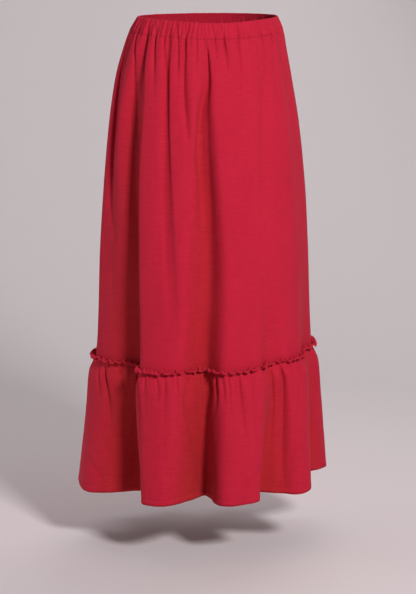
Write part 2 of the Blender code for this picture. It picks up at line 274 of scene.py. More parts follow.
def stitchRun(name, path, facing, sewing, material):
    # short stitches along a seam, each a small arched bead that dips into the cloth at its ends
    along = np.concatenate([[0], np.cumsum(np.linalg.norm(np.diff(path, axis=0), axis=1))])
    starts = np.arange(sewing["pitch"] / 2, along[-1] - sewing["pitch"], sewing["pitch"])
    chance = random.Random(sewing["seed"])
    points, faces = [], []
    sides = 5
    # share of the length, share of the radius, height above the cloth in radii
    halfProfile = ((0.0, 0.35, -0.4), (0.22, 0.95, 0.35))
    otherHalf = [(1 - share, fat, lift) for share, fat, lift in reversed(halfProfile)]
    profile = [*halfProfile, (0.5, 1.0, 0.55), *otherHalf]

    def at(values, where):
        return np.array([np.interp(where, along, values[:, k]) for k in range(3)])

    for start in starts:
        length = sewing["length"] * chance.uniform(0.9, 1.1)
        slip = chance.uniform(-0.06, 0.06) * sewing["length"]
        begin, end = at(path, start), at(path, start + length)
        outward = at(facing, start + length / 2)
        outward /= np.linalg.norm(outward)
        run = end - begin
        across = np.cross(run, outward)
        across /= np.linalg.norm(across)
        base = len(points)
        for share, fat, lift in profile:
            centre = begin + run * share + across * slip * (share - 0.5)
            centre = centre + outward * lift * sewing["radius"]
            for k in range(sides):
                angle = 2 * math.pi * k / sides
                rim = across * math.cos(angle) + outward * math.sin(angle)
                points.append(centre + rim * sewing["radius"] * fat)
        for ring in range(len(profile) - 1):
            for k in range(sides):
                a, b = base + ring * sides + k, base + ring * sides + (k + 1) % sides
                faces.append((a, a + sides, b + sides, b))
        faces.append(tuple(base + k for k in range(sides)))
        faces.append(tuple(base + (len(profile) - 1) * sides + k for k in reversed(range(sides))))
    return newPiece(name, points, faces, material)


# Tucks start at a gathered edge and fade below it. Creases are traced row by row.
# In both, turns are degrees and lengths millimetres.
def tuck(turn, slide, deep, reach):
    return {"turn": turn, "slide": slide, "deep": deep / 1000, "reach": reach / 1000}


def crease(rows, leftSlope=1.0, rightSlope=1.0):
    # each row: drop, turn, half width, depth (a ridge where it is negative)
    drops, middles, widths, deeps = zip(*rows)
    inMetres = [[length / 1000 for length in column] for column in (drops, widths, deeps)]
    return {
        "drops": inMetres[0], "middles": middles, "widths": inMetres[1], "deeps": inMetres[2],
        "leftSlope": leftSlope, "rightSlope": rightSlope,
    }


def tuckDepth(tucks, turns, below, width, growth):
    depth = np.zeros_like(turns)
    for one in tucks:
        fade = math.exp(-((below / one["reach"]) ** 1.3))
        if fade < 0.01:
            continue
        slide = one["slide"] * min(below / one["reach"], 1.5)
        away = awayFrom(turns, one["turn"] + slide) / (width + growth * below)
        away = np.where(away < 0, away * 0.85, away * 1.25)  # the right side is the steeper one
        depth += one["deep"] * fade * np.exp(-np.abs(away) ** 1.45)
    return depth


def creaseDepth(creases, turns, drop, metresPerDegree):
    depth = np.zeros_like(turns)
    for one in creases:
        drops = one["drops"]
        if drop > drops[-1] or (drop < drops[0] and one["deeps"][0] == 0):
            continue
        columns = (one["middles"], one["widths"], one["deeps"])
        middle, width, deep = (smoothThrough(drops, column, drop) for column in columns)
        away = awayFrom(turns, middle) * metresPerDegree / width
        slope = np.where(away < 0, one["leftSlope"], one["rightSlope"])
        depth += deep * np.exp(-np.abs(away * slope) ** 1.5)
    return depth


def smallTucks(half, seed, count, depths, reaches):
    # the fine gathers between the main ones
    edges, _ = uneven(count, seed, 0.45)
    low, high = halves[half]
    chance = random.Random(seed + 7)
    made = []
    for edge in edges[1:-1]:
        turn = low + (high - low) * edge
        slide, deep = chance.uniform(-2, 2), chance.uniform(*depths)
        made.append(tuck(turn, slide, deep, chance.uniform(*reaches)))
    return made


def scatterCreases(half, seed, count, drops, lengths, widths, depths, slant):
    # soft troughs and ridges that taper to nothing at both ends
    chance = random.Random(seed)
    low, high = halves[half]
    made = []
    for _ in range(count):
        turn, drop = chance.uniform(low + 4, high - 4), chance.uniform(*drops)
        length = min(chance.uniform(*lengths), drops[1] + 50 - drop)
        deep = chance.uniform(*depths) * chance.choice((1, 1, -0.8))
        lean, width = chance.uniform(-slant, slant), chance.uniform(*widths)
        made.append(crease((
            (drop, turn, width, 0.0),
            (drop + 0.35 * length, turn + 0.3 * lean, width * 1.2, deep),
            (drop + 0.65 * length, turn + 0.7 * lean, width * 1.3, deep * 0.8),
            (drop + length, turn + lean, width * 1.5, 0.0),
        )))
    return made


def metresPerDegreeOf(place, turns):
    steps = np.linalg.norm(np.gradient(place, axis=0), axis=-1)
    return steps / np.maximum(np.gradient(turns), 1e-6)


# Materials. The slub weave is one group that each cloth and the thread use with their own values.
def mathsNode(tree, operation, *values):
    node = tree.nodes.new("ShaderNodeMath")
    node.operation = operation
    for socket, value in zip(node.inputs, values):
        if isinstance(value, (int, float)):
            socket.default_value = value
        else:
            tree.links.new(value, socket)
    return node.outputs[0]


def mixNode(tree, factor, first, second, blend="MIX"):
    node = tree.nodes.new("ShaderNodeMix")
    node.data_type = "RGBA"
    node.blend_type = blend
    tree.links.new(factor, node.inputs["Factor"])
    for name, value in (("A", first), ("B", second)):
        if isinstance(value, tuple):
            node.inputs[name].default_value = value
        else:
            tree.links.new(value, node.inputs[name])
    return node.outputs["Result"]


def slubWeaveGroup():
    group = bpy.data.node_groups.new("slubWeave", "ShaderNodeTree")
    sockets = group.interface.new_socket
    sockets("Cloth Place", in_out="INPUT", socket_type="NodeSocketVector")
    for name, value in (("Thread Pitch", 0.0007), ("Slub Strength", 1.0), ("Weave Height", 0.00006)):
        sockets(name, in_out="INPUT", socket_type="NodeSocketFloat").default_value = value
    for name in ("Tone", "Height", "Fuzz", "Painted Shade"):
        sockets(name, in_out="OUTPUT", socket_type="NodeSocketFloat")
    nodes, links = group.nodes, group.links
    inside, outside = nodes.new("NodeGroupInput"), nodes.new("NodeGroupOutput")

    def maths(operation, *values):
        return mathsNode(group, operation, *values)

    def streaks(scale, detail):
        # noise drawn out along one thread direction, from 0 to 1
        mapping = nodes.new("ShaderNodeVectorMath")
        mapping.operation = "MULTIPLY"
        links.new(inside.outputs["Cloth Place"], mapping.inputs[0])
        mapping.inputs[1].default_value = scale
        noise = nodes.new("ShaderNodeTexNoise")
        noise.inputs["Scale"].default_value = 1.0
        noise.inputs["Detail"].default_value = detail
        noise.inputs["Roughness"].default_value = 0.55
        links.new(mapping.outputs[0], noise.inputs["Vector"])
        return noise.outputs["Fac"]

    split = nodes.new("ShaderNodeSeparateXYZ")
    links.new(inside.outputs["Cloth Place"], split.inputs[0])
    turn = maths("DIVIDE", 2 * math.pi, inside.outputs["Thread Pitch"])
    warp = maths("SINE", maths("MULTIPLY", split.outputs["X"], turn))
    weft = maths("SINE", maths("MULTIPLY", split.outputs["Y"], turn))
    weave = maths("MULTIPLY", warp, weft)
    weftSlub = maths("SUBTRACT", streaks((28.0, 620.0, 3.0), 3.0), 0.5)
    warpSlub = maths("SUBTRACT", streaks((760.0, 22.0, 5.0), 2.0), 0.5)
    broad = maths("SUBTRACT", streaks((16.0, 9.0, 2.0), 2.0), 0.5)
    threads = maths("ADD", weftSlub, maths("MULTIPLY", warpSlub, 0.45))
    slubs = maths("MULTIPLY", threads, inside.outputs["Slub Strength"])
    tone = maths("ADD", maths("MULTIPLY", slubs, 0.60), maths("MULTIPLY", broad, 0.16))
    tone = maths("ADD", tone, maths("MULTIPLY", weave, 0.05))
    relief = maths("ADD", weave, maths("MULTIPLY", slubs, 2.4))
    height = maths("MULTIPLY", relief, inside.outputs["Weave Height"])
    links.new(tone, outside.inputs["Tone"])
    links.new(height, outside.inputs["Height"])
    links.new(maths("ADD", maths("MULTIPLY", slubs, 0.5), 0.5), outside.inputs["Fuzz"])
    # the place's third value is the painted shade mask, passed on to tint the colour
    links.new(split.outputs["Z"], outside.inputs["Painted Shade"])
    return group


slubWeave = slubWeaveGroup()


def redCloth(name, look):
    material = bpy.data.materials.new(name)
    material.use_nodes = True
    nodes, links = material.node_tree.nodes, material.node_tree.links
    shader = nodes["Principled BSDF"]
    isCloth = "paintedShadeTint" in look  # thread has no cloth place of its own
    if isCloth:
        place, placeSocket = nodes.new("ShaderNodeAttribute"), "Vector"
        place.attribute_name = "clothPlace"
    else:
        place, placeSocket = nodes.new("ShaderNodeTexCoord"), "Object"
    weave = nodes.new("ShaderNodeGroup")
    weave.node_tree = slubWeave
    links.new(place.outputs[placeSocket], weave.inputs["Cloth Place"])
    for socket in ("Thread Pitch", "Slub Strength", "Weave Height"):
        weave.inputs[socket].default_value = look[socket]
    ramp = nodes.new("ShaderNodeValToRGB")
    low, high = ramp.color_ramp.elements
    low.position, high.position = look["toneRange"]
    low.color, high.color = look["shade"], look["light"]
    ramp.color_ramp.elements.new(0.5).color = look["colour"]
    links.new(mathsNode(material.node_tree, "ADD", weave.outputs["Tone"], 0.5), ramp.inputs["Fac"])
    colour = ramp.outputs["Color"]
    if isCloth:
        # painted shade: the base colour is multiplied darker and warmer deep in the folds
        tint = look["paintedShadeTint"]
        colour = mixNode(material.node_tree, weave.outputs["Painted Shade"], colour, tint, "MULTIPLY")
    links.new(colour, shader.inputs["Base Color"])
    rough = nodes.new("ShaderNodeMapRange")
    rough.inputs["To Min"].default_value = look["roughness"] - look["roughnessSpread"]
    rough.inputs["To Max"].default_value = look["roughness"] + look["roughnessSpread"]
    links.new(weave.outputs["Fuzz"], rough.inputs["Value"])
    links.new(rough.outputs["Result"], shader.inputs["Roughness"])
    bump = nodes.new("ShaderNodeBump")
    bump.inputs["Strength"].default_value = look["bump"]
    bump.inputs["Distance"].default_value = 1.0
    links.new(weave.outputs["Height"], bump.inputs["Height"])
    links.new(bump.outputs["Normal"], shader.inputs["Normal"])
    shader.inputs["Sheen Weight"].default_value = look["sheen"]
    shader.inputs["Sheen Roughness"].default_value = look["sheenRoughness"]
    shader.inputs["Sheen Tint"].default_value = look["sheenTint"]
    shader.inputs["Specular IOR Level"].default_value = look["specular"]
    return material


fibreLook = {
    "colour": (0.480, 0.0105, 0.0340, 1.0),
    "light": (0.540, 0.0150, 0.0430, 1.0),
    "shade": (0.410, 0.0075, 0.0270, 1.0),
    "toneRange": (0.30, 0.72),
    "roughness": 0.86,
    "roughnessSpread": 0.07,
    "sheen": 0.06,
    "sheenRoughness": 0.55,
    "sheenTint": (1.0, 0.35, 0.42, 1.0),
    "specular": 0.14,
    "bump": 0.8,
    "Thread Pitch": 0.00075,
    "Slub Strength": 1.0,
    "Weave Height": 0.00005,
}
# painted shade: the tint that darkens and warms the cloth's colour deep in folds
clothLook = {**fibreLook, "paintedShadeTint": (0.84, 1.28, 0.50, 1.0)}
threadLook = {
    **fibreLook,
    "colour": (0.50, 0.012, 0.036, 1.0),
    "light": (0.58, 0.018, 0.048, 1.0),
    "shade": (0.40, 0.008, 0.026, 1.0),
    "roughness": 0.66,
    "bump": 0.3,
}
panelCloth = redCloth("panelCloth", clothLook)
tierCloth = redCloth("tierCloth", {**clothLook, "Slub Strength": 1.1})
casingCloth = redCloth("casingCloth", {**clothLook, "Slub Strength": 0.9})
redThread = redCloth("redThread", threadLook)
print("materials ready")


# The elastic casing
casing = {
    "height": 0.030,
    "wall": 0.0026,
    "gathers": 50,
    "seeds": {"back": 4, "front": 3},
    "columnsPerGather": 8,
    "gatherDepth": 0.0038,
    "grooveSharpness": 0.55,
    "slant": 0.50,
    "footPinch": 0.0003,
    "topScallop": 0.0008,
    "insideDepth": 0.0008,
    "stitchAbove": 0.0022,
    "evenShare": 0.90,
    "bunchedShare": 0.50,
    "bunchedTurn": 200,
    "bunchedWidth": 24,
    "rimRise": 0.94,
    "rimPuff": 0.65,
    "meanReach": 0.19,
    "forkSpread": 4.5,
    "forkWidth": 0.0019,
    "flat": (1.20, 0.030),
}


def grooveWave(strengths, count, slant=0.0):
    # puffs with a narrow groove between each two, 0 in the groove
    moved = count + slant
    return perWave(strengths, moved) * np.abs(np.sin(math.pi * moved)) ** casing["grooveSharpness"]


def casingWaves():
    made = {}
    for half, seed in casing["seeds"].items():
        edges, strengths = uneven(casing["gathers"], seed, 0.5)
        chance = random.Random(seed + 40)
        made[half] = {
            "turns": spread(half, 0.0, edges),
            "strengths": [strength * chance.choice((0.5, 0.8, 1.1)) for strength in strengths],
            "reach": [chance.uniform(0.006, 0.030) for _ in strengths],
            "slants": [chance.uniform(-1, 1) * casing["slant"] for _ in strengths],
        }
    return made


gathersAtWaist = casingWaves()

# the front's main gathers, from the casing down: drop, turn, half width, depth
waistCreases = [
    crease(((15, 181.5, 1.6, 4.6), (66, 182.4, 3, 6), (104, 182.6, 4, 7.2), (162, 182.7, 4.4, 7.5),
            (239, 182.5, 4.5, 6.6), (335, 183.9, 5.5, 4), (430, 187, 7, 0))),
    crease(((15, 193.5, 2, 6), (35, 194.6, 2.4, 5.6), (63, 197.6, 3.6, 6), (100, 198.6, 5.2, 6.2),
            (157, 199.2, 8, 5.8), (240, 199.6, 11, 3), (320, 199.6, 12, 0))),
    crease(((15, 203, 1.8, 6.6), (34, 204.2, 2.4, 7.2), (62, 205.8, 3.6, 7.8), (99, 207.4, 6, 8.6),
            (156, 208.9, 8.6, 9), (233, 208.4, 10, 6.6), (340, 206, 11, 0)), 0.55, 1.9),
    crease(((15, 211.2, 1.9, 8), (32, 212, 2.4, 6.6), (59, 213.6, 3.6, 6.2), (96, 215.6, 5, 3),
            (140, 217, 6, 0))),
    crease(((15, 219.2, 1.9, 6.6), (30, 219.8, 2.4, 6.2), (58, 221.4, 3.6, 5.8), (95, 223.4, 5, 5.4),
            (152, 224.8, 7, 5.2), (228, 226.2, 9, 5), (322, 228.4, 9.5, 4.4), (416, 230.6, 9.5, 3.6),
            (520, 232.8, 10, 0)), 0.7, 1.15),
    crease(((60, 196, 10, 0), (110, 196.6, 14, 5), (200, 197, 16, 7), (330, 196, 18, 5),
            (500, 195, 18, 0)), 0.8, 1),
    crease(((15, 229.8, 2, 3.4), (56, 231.4, 3.4, 4), (94, 232.6, 5, 2), (140, 233.6, 6, 0))),
    crease(((15, 236, 1.9, 7), (55, 236.6, 3.6, 7), (93, 237.2, 5.2, 7.4), (150, 239.4, 6.6, 7),
            (227, 243.2, 8, 1.4), (321, 244.3, 10, 0.8), (420, 245, 11, 0))),
    crease(((15, 246.3, 2, 3.4), (54, 247, 3.2, 3.2), (92, 247.5, 4.5, 1.6), (130, 248, 5.5, 0))),
    crease(((30, 256.2, 1.4, 0), (41, 256.2, 2, 3.6), (54, 256.4, 3.2, 6), (92, 256.2, 6, 8.6),
            (150, 252.6, 8, 11.2), (227, 251.4, 11, 12), (323, 254.2, 16, 8), (418, 256, 18, 4),
            (530, 257, 19, 0)), 1, 0.95),
    crease(((15, 264, 1.8, 4), (40, 264.5, 3, 2), (60, 264.8, 4, 0))),
    crease(((60, 292, 7, 0), (100, 291.5, 8, 1.6), (180, 291, 9, 1.6), (300, 290, 11, 0))),
    crease(((15, 273.2, 2.2, 6.4), (26, 273.7, 2.6, 6.2), (54, 274.7, 3.6, 4), (82, 274.9, 4, 0))),
    crease(((15, 287.2, 2, 4.6), (27, 286.8, 2.6, 4.2), (55, 287.2, 3.6, 3.4), (94, 285.6, 5, 2),
            (152, 285, 7, 1.4), (230, 283.9, 8, 0.8), (300, 283, 9, 0))),
    crease(((15, 299, 1.8, 3.6), (40, 299.5, 3, 2), (70, 299.8, 4, 0))),
    crease(((15, 312.6, 2, 5.6), (32, 313.2, 3, 4.4), (60, 312.8, 4, 3.2), (98, 310.2, 6, 2.6),
            (156, 305, 7, 2.6), (234, 301.2, 8, 2), (330, 298, 9, 1.2), (450, 297, 10, 0))),
    crease(((15, 323.7, 2, 5.6), (35, 324, 2.6, 4.6), (63, 322.2, 3.6, 2.8), (101, 319.6, 5, 1.2),
            (150, 318, 6, 0))),
    crease(((15, 335, 1.8, 4), (40, 334.6, 3, 2.4), (75, 333.8, 4, 0))),
    crease(((15, 345.5, 2, 4.6), (69, 343.6, 4, 3.4), (125, 336.6, 6, 2.2), (183, 331.8, 7, 1.6),
            (250, 330, 8, 0))),
    crease(((15, 355, 2, 5), (60, 354, 3.6, 3.6), (130, 352, 6, 2), (240, 350, 8, 0))),
]
# the back's, which is gathered alike
waistTucksBehind = [
    tuck(7, 1, 5.8, 70), tuck(19, -1, 7.6, 110), tuck(33, 2, 6.6, 50), tuck(45, 0, 6, 160),
    tuck(60, 1, 8.6, 90), tuck(74, -2, 5.4, 60), tuck(86, 0, 7.8, 150), tuck(101, 2, 6.6, 60),
    tuck(114, -1, 6, 100), tuck(128, 0, 8.4, 140), tuck(142, 1, 6, 50), tuck(157, -2, 7.6, 120),
    tuck(171, 0, 6, 60),
]
fineTucks = smallTucks("front", 61, 44, (0.4, 2.2), (8, 30))
fineTucks += smallTucks("back", 62, 44, (0.6, 2.6), (10, 40))
# half width in degrees and its growth a metre
tuckShape, fineTuckShape = (1.0, 14), (0.8, 20)


def waistGathers(turns, drop, metresPerDegree):
    below = max(drop - skirt["casingHeight"] / 2, 0.0)
    depth = tuckDepth(waistTucksBehind, turns, below, *tuckShape)
    depth += tuckDepth(fineTucks, turns, below, *fineTuckShape)
    return depth + creaseDepth(waistCreases, turns, drop, metresPerDegree)


def forkedGathers(turns, rise, metresPerDegree):
    # above the casing's foot each main gather splits in two prongs that run up and die out
    chance = random.Random(81)
    mains = [(one["middles"][0], one["deeps"][0]) for one in waistCreases]
    mains += [(one["turn"], one["deep"]) for one in waistTucksBehind]
    depth = tuckDepth(fineTucks, turns, 0.0, *fineTuckShape) * (1 - ease(0.0, 0.5, rise))
    width = casing["forkWidth"] * (1 + 0.5 * rise)
    fade = (1 - ease(0.1, 1.25, rise)) * (1 - 0.15 * ease(0.0, 0.25, rise))
    for turn, deep in mains:
        leftward, rightward = chance.uniform(0.2, 1), chance.uniform(0.2, 1)
        rightStrength = chance.uniform(0.3, 1)
        prongs = []
        for apart, strength in ((-leftward, 1.0), (rightward, rightStrength)):
            middle = turn + casing["forkSpread"] * apart * rise
            away = awayFrom(turns, middle) * metresPerDegree / width
            weaker = 1 - (1 - strength) * min(1.0, 3 * rise)
            prongs.append(weaker * np.exp(-np.abs(away) ** 1.5))
        depth += deep * fade * np.maximum(*prongs)
    return depth


def sewCasing():
    turns, halfWaves = [], []
    steps = np.arange(casing["gathers"] * casing["columnsPerGather"]) / casing["columnsPerGather"]
    for half in ("back", "front"):
        waves = gathersAtWaist[half]
        here = np.interp(steps, np.arange(casing["gathers"] + 1), waves["turns"])
        turns.append(here)
        halfWaves.append((waves["strengths"], perWave(waves["slants"], steps)))
    turns = np.concatenate(turns)
    foot = skirt["casingHeight"] / 2
    perDegree = metresPerDegreeOf(sectionAt(foot, turns)[0], turns)
    presses = waistGathers(turns, foot, perDegree)
    height, wall = casing["height"], casing["wall"]
    stitchRise = casing["stitchAbove"] / height
    nearBunch = np.exp(-((awayFrom(turns, casing["bunchedTurn"]) / casing["bunchedWidth"]) ** 2))
    bunched = casing["evenShare"] + casing["bunchedShare"] * nearBunch
    rim = casing["rimRise"]
    rows, places = [], []

    def rucheAt(rise):
        return np.concatenate(
            [grooveWave(strengths, steps, slants * (rise - 0.2)) for strengths, slants in halfWaves]
        )

    def reliefAt(rise):
        swell = 0.46 + 0.54 * ease(0.0, 0.32, rise) * (1 - 0.30 * ease(0.70, 0.94, rise))
        puff = casing["gatherDepth"] * bunched * (rucheAt(rise) - 0.50) * swell
        sewn = casing["footPinch"] * math.exp(-(((rise - stitchRise) / 0.03) ** 2))
        return puff - sewn - forkedGathers(turns, rise, perDegree)

    def addRow(rise, outward, travel):
        drop = height * (0.5 - rise)
        place, facing = sectionAt(drop, turns)
        spot = place + facing * outward[:, None]
        scallop = casing["topScallop"] * (rucheAt(1.0) - 0.5) * ease(0.7, 1.0, rise)
        rows.append(np.column_stack([spot, hang(place, drop) + scallop]))
        around = np.radians(turns) * casing["meanReach"]
        # painted shade mask, deepest where the gathers press in at the casing's foot
        hollow = paintedShadeOf(presses * (1 - rise))
        places.append(np.column_stack([around, np.full_like(turns, travel), hollow]))

    # up the outside, over the rim and down the inside
    for rise in np.linspace(0.0, rim, 17):
        addRow(rise, reliefAt(rise), -height * rise)
    topPuff = casing["gatherDepth"] * casing["rimPuff"] * (rucheAt(1.0) - 0.50)
    for angle in np.radians((35, 70, 110, 145)):
        over = wall / 2 * (math.cos(angle) - 1)
        outward = over + topPuff * (1 + math.cos(angle)) / 2
        addRow(rim + (1 - rim) * math.sin(angle), outward, -height)
    for rise in (rim, 0.80, 0.62, 0.44, 0.26, 0.12, 0.0):
        inside = casing["insideDepth"] * (1 - rucheAt(rise)) * (0.3 + 2.8 * rise * (1 - rise))
        addRow(rise, -wall + inside - presses * 0.5 * (1 - rise) ** 3, height * (rise - 2))
    grid, place = np.array(rows), np.array(places)
    index = np.arange(grid.shape[0] * grid.shape[1]).reshape(grid.shape[:2])
    ring = np.concatenate([index, index[:, :1]], axis=1)
    ring = np.concatenate([ring, ring[:1]], axis=0)
    faces = quadsOf(ring, flip=True).tolist()
    piece = newPiece("waistCasing", grid.reshape(-1, 3), faces, casingCloth, place.reshape(-1, 3))
    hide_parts("waist_casing")
    return piece, turns, reliefAt(stitchRise)


waistCasing, casingTurns, casingRelief = sewCasing()
print("casing sewn")


# The gathered body: a front and a back panel
panels = {
    "columns": 430,
    "rows": 110,
    "spreadDrop": 0.40,
    "tail": 0.004,
    "rippleDepth": 0.00136,
    "sideGroove": 0.0004,
    "flat": (0.80, 0.665),
    "flatArea": 0.466,
}
# softer creases lower down: drop, turn, half width, depth
panelCreases = [
    crease(((220, 228, 10, 0), (340, 227, 12, 1.2), (500, 226, 14, 0))),
    crease(((280, 243, 10, 0), (420, 245, 12, 1.2), (600, 248, 14, 0))),
    crease(((300, 274, 12, 0), (480, 276, 15, 1.2), (640, 277, 16, 0))),
    crease(((320, 312, 12, 0), (460, 314, 14, 1.2), (620, 318, 14, 0))),
    crease(((300, 345, 14, 0), (460, 348, 16, 2), (620, 350, 16, 0))),
    crease(((360, 184, 8, 0), (500, 185, 10, 1.6), (630, 187, 10, 0))),
    crease(((100, 24, 12, 0), (300, 23, 14, 2.2), (540, 22, 14, 0))),
    crease(((180, 48, 10, 0), (400, 49, 12, 1.8), (600, 50, 12, 0))),
    crease(((80, 75, 8, 0), (240, 74, 10, -1.4), (400, 73, 12, 0))),
    crease(((140, 104, 12, 0), (340, 105, 14, 2.2), (560, 107, 14, 0))),
    crease(((240, 135, 10, 0), (440, 134, 12, 1.8), (620, 133, 12, 0))),
    crease(((160, 164, 12, 0), (360, 165, 14, 2.2), (580, 166, 14, 0))),
]
for half, seed in (("front", 31), ("back", 32)):
    panelCreases += scatterCreases(half, seed, 24, (60, 580), (100, 260), (6, 14), (0.3, 0.8), 2.5)


def sewPanel(half):
    shares = np.linspace(0, 1, panels["columns"])
    turns = spread(half, panels["spreadDrop"], shares)
    top, foot = skirt["casingHeight"] / 2, skirt["seamDrop"] + panels["tail"]
    steps = np.linspace(0, 1, panels["rows"])
    drops = top + (foot - top) * (0.42 * steps + 0.58 * steps**1.9)
    waves = gathersAtWaist[half]
    count = np.interp(turns, waves["turns"], np.arange(casing["gathers"] + 1))
    reach = perWave(waves["reach"], count)
    ripple = grooveWave(waves["strengths"], count, perWave(waves["slants"], count) * -0.2) - 0.50
    fromSide = np.minimum(shares, 1 - shares) * 0.75
    groove = panels["sideGroove"] * np.exp(-((fromSide / 0.0022) ** 2))
    ripple = ripple * ease(0.0, 0.01, fromSide)
    across = shares * panels["flat"][0]
    rows, places = [], []
    for drop in drops:
        below = drop - top
        place, facing = sectionAt(drop, turns)
        perDegree = metresPerDegreeOf(place, turns)
        pressed = waistGathers(turns, drop, perDegree)
        pressed += creaseDepth(panelCreases, turns, drop, perDegree)
        outward = panels["rippleDepth"] * ripple * np.exp(-below / reach) - pressed - groove
        outward *= 1 - ease(skirt["seamDrop"] - 0.030, skirt["seamDrop"] - 0.014, drop)
        spot = place + facing * outward[:, None]
        rows.append(np.column_stack([spot, hang(place, drop)]))
        # painted shade mask, from how deep the long folds and creases press in
        hollow = paintedShadeOf(foldHollow(drop, turns) + np.maximum(pressed, 0.0))
        places.append(np.column_stack([across, np.full_like(across, drop), hollow]))
    grid = np.array(rows)
    thickness = np.full(len(drops), skirt["clothThickness"])
    piece = clothShell(half + "Panel", grid, thickness, np.array(places), panelCloth)
    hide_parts(half + "_panel")
    return piece


frontPanel = sewPanel("front")
backPanel = sewPanel("back")
print("panels sewn")


# The gathered tier, whose own top edge is the frill above the seam
tier = {
    "frillWaves": 62,
    "seeds": {"front": 5, "back": 6},
    "columnsPerWave": 7,
    "headingRows": 9,
    "rows": 66,
    "spreadDrop": 0.84,
    "puff": 0.0050,
    "puffWithin": 0.013,
    "frillHeight": 0.0135,
    "frillRoll": 1.35,
    "frillRollWave": 0.95,
    "frillSide": 0.0030,
    "frillRipple": 0.0009,
    "seamPinch": 0.0008,
    "rippleDepth": 0.0020,
    "hemWave": 0.0010,
    "hemTurn": 0.011,
    "hemExtra": 0.0006,
    "tuckShape": (0.9, 14),
    "fineTuckShape": (0.75, 16),
    "flat": (1.03, 0.268),
    "edgeThread": 0.00062,
}
# gathers below the frill: drop, turn, half width, depth
tierCreases = [
    crease(((658, 181.4, 1.6, 0), (680, 182.8, 2.6, 4.4), (700, 184, 3.4, 3.2), (725, 184.8, 4, 0))),
    crease(((656, 183.9, 2.2, 5.4), (691, 186.2, 3.4, 6.6), (738, 188.1, 5, 5), (795, 189.6, 7, 0))),
    crease(((656, 188, 2, 5), (672, 189.8, 2.6, 3.4), (690, 191.2, 3.6, 0))),
    crease(((656, 257.4, 4, 5.6), (685, 258.6, 10, 8.4), (730, 257, 10, 4.6), (780, 255.8, 10, 0))),
    crease(((656, 196.5, 2.2, 5), (690, 197.2, 3.6, 3), (730, 197.6, 5, 0))),
    crease(((838, 184.6, 3.6, 0), (853, 186.6, 4.4, 2.6), (871, 189.4, 4.6, 2.6), (890, 192, 4.4, 0))),
    crease(((804, 188.4, 3.4, 0), (822, 189.8, 4, 1.8), (842, 191.6, 4.2, 0))),
    crease(((656, 214.6, 3, 3.4), (680, 218.6, 4, 4.4), (722, 220.3, 5, 4), (780, 221.1, 6, 3),
            (905, 221, 7, 1)), 0.5, 1.3),
    crease(((656, 221.8, 2, 5), (673, 222.8, 2.8, 4), (721, 224, 4, 1.6), (765, 225, 5, 0))),
    crease(((656, 228.6, 1.9, 5.2), (681, 230.2, 3, 2.6), (712, 231, 4, 0))),
    crease(((656, 232.9, 1.8, 6.6), (671, 233.5, 2.4, 5.6), (718, 233.6, 6, 2), (776, 233.7, 8, 1.6),
            (843, 234.2, 9, 1.2), (895, 234.5, 10, 0.8))),
    crease(((656, 238.4, 1.8, 5.2), (683, 239, 3, 3.2), (722, 239.3, 4, 0))),
    crease(((656, 242, 2, 6.6), (669, 243.2, 5, 7.2), (717, 241.6, 6.6, 6), (775, 243.6, 9, 3.6),
            (846, 244.2, 10, 1.6), (900, 244.2, 11, 0))),
    crease(((656, 262, 2, 7), (678, 262.8, 2.8, 8.4), (700, 263, 3.4, 4), (735, 262, 4.4, 0)), 0.8, 1.1),
    crease(((656, 265.6, 2, 5.6), (683, 266.2, 3, 5), (716, 266.6, 4, 0))),
    crease(((656, 268.8, 2, 5.4), (671, 269.2, 3, 4.4), (719, 269.5, 5, 1.6), (762, 270, 6, 0))),
    crease(((656, 271.9, 2, 4.4), (690, 272.2, 3, 3), (732, 272.5, 4, 0))),
    crease(((656, 275.3, 2, 8), (674, 275, 3, 7.8), (722, 275.6, 5, 4), (761, 277, 6, 2.8),
            (802, 278, 7, 0))),
    crease(((656, 282, 2.8, 3.4), (706, 281.5, 5, 2.2), (749, 282.3, 7, 2.2), (799, 283.2, 8, 2),
            (864, 281.8, 10, 1.2), (904, 281.5, 10, 0.8))),
    crease(((656, 290.8, 1.9, 5.4), (690, 291.4, 3, 3), (732, 292, 4, 0))),
    crease(((656, 297.6, 2, 7.8), (691, 299, 3, 7.6), (741, 300.6, 4.2, 4.4), (800, 301.4, 6, 1.6),
            (850, 302, 8, 0))),
    crease(((656, 303.8, 2.4, 7), (693, 304.8, 5.6, 10.6), (741, 305, 9.6, 11.2), (800, 305.4, 12, 9.2),
            (869, 306.4, 14, 6.8), (905, 307, 14, 5.2))),
    crease(((656, 309.8, 2, 4.6), (697, 308.6, 3, 3), (742, 308, 4, 0))),
    crease(((656, 316.4, 2, 5.6), (701, 314, 3, 4.4), (749, 312, 4.4, 3), (824, 308.8, 6, 1.2),
            (880, 307.5, 7, 0))),
    crease(((656, 328, 2, 5.6), (700, 326, 3.4, 3), (745, 325, 4.6, 0))),
    crease(((656, 343, 2.2, 6.2), (720, 344, 4.4, 4.4), (820, 345, 7, 0))),
    crease(((656, 353, 2.2, 6), (710, 353.6, 4, 3.6), (770, 354, 6, 0))),
    crease(((700, 52, 6, 0), (750, 51, 7, 2.6), (820, 49, 8, 0))),
    crease(((690, 110, 6, 0), (760, 108, 7, 2.6), (840, 106, 8, 0))),
    crease(((840, 66, 3.6, 0), (862, 68.4, 4.4, 2.2), (892, 71, 4.4, 0))),
]
